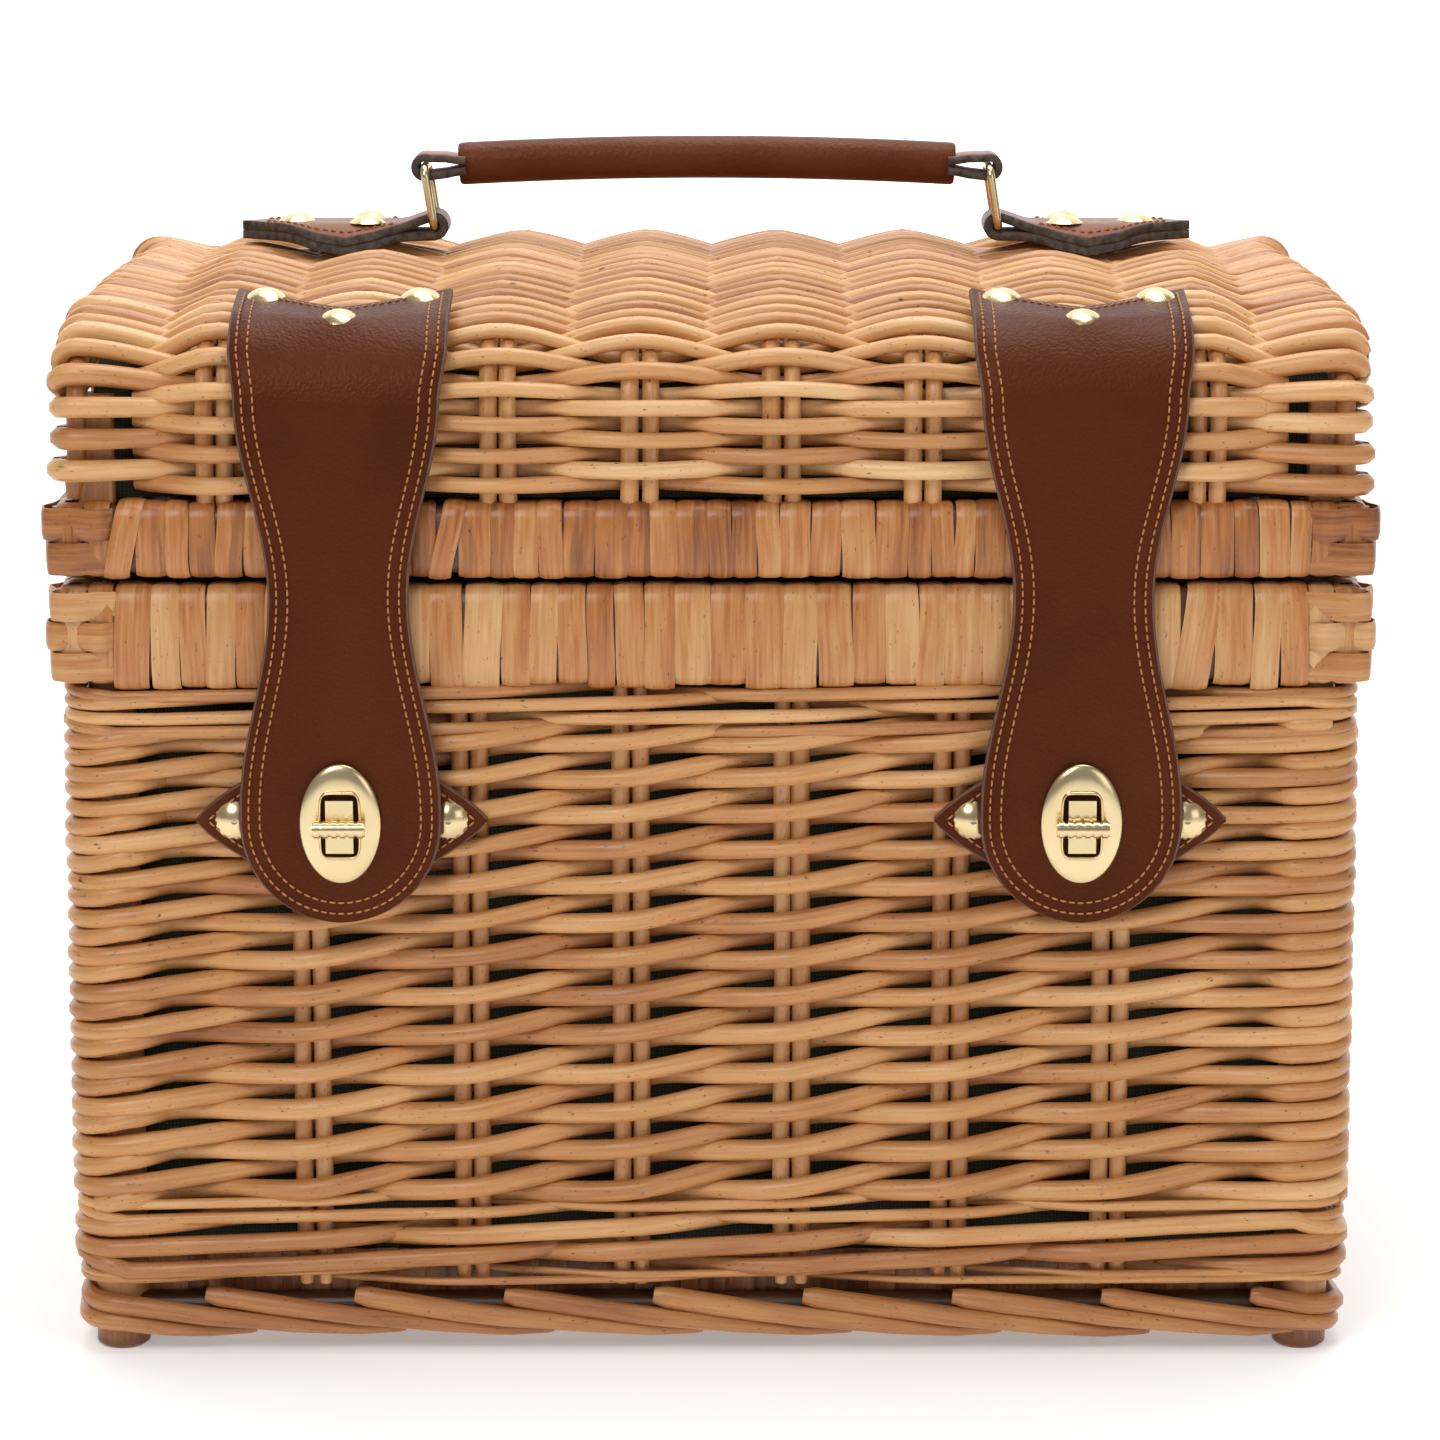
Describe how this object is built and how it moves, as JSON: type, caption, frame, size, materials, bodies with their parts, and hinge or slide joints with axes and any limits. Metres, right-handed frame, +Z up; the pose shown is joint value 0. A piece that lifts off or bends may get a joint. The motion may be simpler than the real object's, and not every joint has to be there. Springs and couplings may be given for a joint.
{
  "type": "picnic basket",
  "caption": "Woven willow picnic basket with a hinged domed lid, leather straps with brass turn locks and a ring-mounted leather handle.",
  "frame": {"origin": "centre of the footprint, on the surface that the feet stand on", "axes": "+Z up, front with the straps towards -Y, +X to the right seen from the front"},
  "size_m": [0.408, 0.3205, 0.3733],
  "materials": {
    "willow": "honey-tan whole willow rods, semi-gloss, darker at knots",
    "peeled_willow": "pale peeled willow sticks, semi-gloss",
    "core_willow": "plain thick willow sticks",
    "skein": "flat split willow strips, satin",
    "lining_cloth": "dark olive plain-weave cotton, matt",
    "strap_leather": "reddish brown, fine grain, semi-gloss, tan stitching",
    "handle_leather": "reddish brown, pebbled grain, dark cut edges",
    "brass": "polished pale brass"
  },
  "bodies": {
    "basket": {"corner_post_front_left": "willow", "corner_post_front_right": "willow", "corner_post_back_left": "willow", "corner_post_back_right": "willow", "bottom_border": "willow", "base_frame": "core_willow", "base_weave": "willow", "stakes_front": "peeled_willow", "stakes_back": "peeled_willow", "stakes_left": "peeled_willow", "stakes_right": "peeled_willow", "weave_front": "willow", "weave_back": "willow", "weave_left": "willow", "weave_right": "willow", "lower_wale": "willow", "upper_wale": "willow", "rim_core": "core_willow", "rim_wrap": "skein", "rim_corner_plaits": "skein", "lining": "lining_cloth", "catch_tab_left": "strap_leather", "catch_tab_right": "strap_leather", "catch_rivets": "brass", "lock_post_left": "brass", "lock_post_right": "brass", "hinge_leaf_basket_left": "strap_leather", "hinge_leaf_basket_right": "strap_leather", "hinge_rivets_basket": "brass"},
    "lid": {"lid_rim_core": "core_willow", "lid_rim_wrap": "skein", "lid_corner_plaits": "skein", "lid_stakes": "peeled_willow", "lid_weave": "willow", "lid_bow_left": "core_willow", "lid_bow_right": "core_willow", "lid_end_left": "willow", "lid_end_right": "willow", "lid_lining": "lining_cloth", "hinge_leaf_lid_left": "strap_leather", "hinge_leaf_lid_right": "strap_leather", "hinge_rivets_lid": "brass", "strap_head_left": "strap_leather", "strap_head_right": "strap_leather", "strap_rivets": "brass", "handle_tab_left": "handle_leather", "handle_tab_right": "handle_leather", "handle_tab_rivets": "brass"},
    "left_strap": {"strap_left": "strap_leather", "lock_plate_left": "brass"},
    "right_strap": {"strap_right": "strap_leather", "lock_plate_right": "brass"},
    "left_toggle": {"toggle_left": "brass"},
    "right_toggle": {"toggle_right": "brass"},
    "left_ring": {"ring_left": "brass"},
    "right_ring": {"ring_right": "brass"},
    "handle": {"handle_strap": "handle_leather", "handle_grip": "handle_leather"}
  },
  "joints": [
    {"name": "lid_hinge", "type": "hinge", "parent": "basket", "child": "lid", "pos_m": [0, 0.1563, 0.24775], "axis": [-1, 0, 0], "range_deg": [0, 105]},
    {"name": "left_strap_lift", "type": "hinge", "parent": "lid", "child": "left_strap", "pos_m": [-0.114, -0.1451, 0.306], "axis": [-1, 0, 0], "range_deg": [0, 70]},
    {"name": "right_strap_lift", "type": "hinge", "parent": "lid", "child": "right_strap", "pos_m": [0.114, -0.1451, 0.306], "axis": [-1, 0, 0], "range_deg": [0, 70]},
    {"name": "left_toggle_turn", "type": "hinge", "parent": "basket", "child": "left_toggle", "pos_m": [-0.114, -0.1589, 0.174], "axis": [0, -1, 0], "range_deg": [0, 90]},
    {"name": "right_toggle_turn", "type": "hinge", "parent": "basket", "child": "right_toggle", "pos_m": [0.114, -0.1589, 0.174], "axis": [0, -1, 0], "range_deg": [0, 90]},
    {"name": "left_ring_swing", "type": "hinge", "parent": "lid", "child": "left_ring", "pos_m": [-0.09148, 0.005, 0.344], "axis": [0, 1, 0], "range_deg": [-36, 54]},
    {"name": "right_ring_swing", "type": "hinge", "parent": "lid", "child": "right_ring", "pos_m": [0.09452, 0.005, 0.344], "axis": [0, 1, 0], "range_deg": [-36, 54]},
    {"name": "handle_tilt", "type": "hinge", "parent": "left_ring", "child": "handle", "pos_m": [-0.09452, 0.005, 0.36326], "axis": [0, 1, 0], "range_deg": [-54, 36]}
  ],
  "couplings": [
    {"joint": "right_ring_swing", "follows": "left_ring_swing", "ratio": 1},
    {"joint": "handle_tilt", "follows": "left_ring_swing", "ratio": -1}
  ]
}
